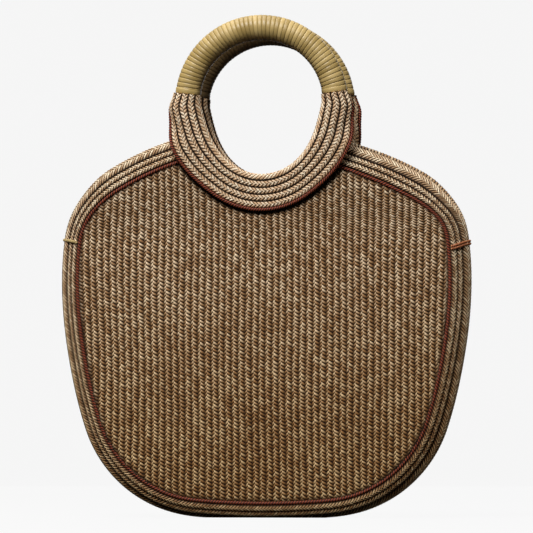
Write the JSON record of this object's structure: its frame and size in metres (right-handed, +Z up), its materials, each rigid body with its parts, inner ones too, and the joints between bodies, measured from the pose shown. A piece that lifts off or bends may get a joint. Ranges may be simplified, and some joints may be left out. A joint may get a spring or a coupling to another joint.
{
  "type": "tote bag",
  "caption": "Straw tote bag of sewn braid rows: rounded flat body with a raised rim, ring handles set in braid collars and bound with leather, and a mouth that springs open.",
  "frame": {"origin": "on the ground under the middle of the flattened base", "axes": "+Z up from the base to the handles, +X to the right seen from the front, the front faces -Y"},
  "size_m": [0.3696, 0.078, 0.4501],
  "materials": {
    "straw_panel": "matte plaited straw in upright rows",
    "straw_rim": "plaited straw rows with a dry sheen",
    "straw_collar": "plaited straw rows with a dry sheen",
    "piping_cord": "twisted red-brown cord",
    "leather_strap": "smooth tan leather with a soft gloss",
    "ring_core": "plain bent cane",
    "lining_cloth": "smooth tan cotton cloth",
    "left_thread": "waxed yellow-olive thread",
    "right_thread": "waxed orange-brown thread"
  },
  "bodies": {
    "bag_base": {"front_panel_lower": "straw_panel", "front_rim_row_1_lower": "straw_rim", "front_rim_row_2_lower": "straw_rim", "front_rim_row_3_lower": "straw_rim", "front_rim_piping_lower": "piping_cord", "back_panel_lower": "straw_panel", "back_rim_row_1_lower": "straw_rim", "back_rim_row_2_lower": "straw_rim", "back_rim_row_3_lower": "straw_rim", "back_rim_piping_lower": "piping_cord", "lining_lower": "lining_cloth", "left_bar_tack": "left_thread", "right_bar_tack": "right_thread"},
    "front_upper": {"front_panel_upper": "straw_panel", "front_rim_row_1_upper_left": "straw_rim", "front_rim_row_2_upper_left": "straw_rim", "front_rim_row_3_upper_left": "straw_rim", "front_rim_piping_upper_left": "piping_cord", "front_rim_row_1_upper_right": "straw_rim", "front_rim_row_2_upper_right": "straw_rim", "front_rim_row_3_upper_right": "straw_rim", "front_rim_piping_upper_right": "piping_cord", "front_collar_row_1": "straw_collar", "front_collar_row_2": "straw_collar", "front_collar_row_3": "straw_collar", "front_collar_row_4": "straw_collar", "front_collar_row_5": "straw_collar", "front_collar_piping": "piping_cord", "front_handle_core": "ring_core", "front_handle_strap": "leather_strap", "front_lining_upper": "lining_cloth"},
    "back_upper": {"back_panel_upper": "straw_panel", "back_rim_row_1_upper_left": "straw_rim", "back_rim_row_2_upper_left": "straw_rim", "back_rim_row_3_upper_left": "straw_rim", "back_rim_piping_upper_left": "piping_cord", "back_rim_row_1_upper_right": "straw_rim", "back_rim_row_2_upper_right": "straw_rim", "back_rim_row_3_upper_right": "straw_rim", "back_rim_piping_upper_right": "piping_cord", "back_collar_row_1": "straw_collar", "back_collar_row_2": "straw_collar", "back_collar_row_3": "straw_collar", "back_collar_row_4": "straw_collar", "back_collar_row_5": "straw_collar", "back_collar_piping": "piping_cord", "back_handle_core": "ring_core", "back_handle_strap": "leather_strap", "back_lining_upper": "lining_cloth"}
  },
  "joints": [
    {"name": "front_mouth", "type": "hinge", "parent": "bag_base", "child": "front_upper", "pos_m": [0, -0.0188, 0.24627], "axis": [1, 0, 0], "range_deg": [-4, 16], "stiffness_Nm_per_rad": 1.5},
    {"name": "back_mouth", "type": "hinge", "parent": "bag_base", "child": "back_upper", "pos_m": [0, 0.0188, 0.24627], "axis": [-1, 0, 0], "range_deg": [-4, 16], "stiffness_Nm_per_rad": 1.5}
  ]
}
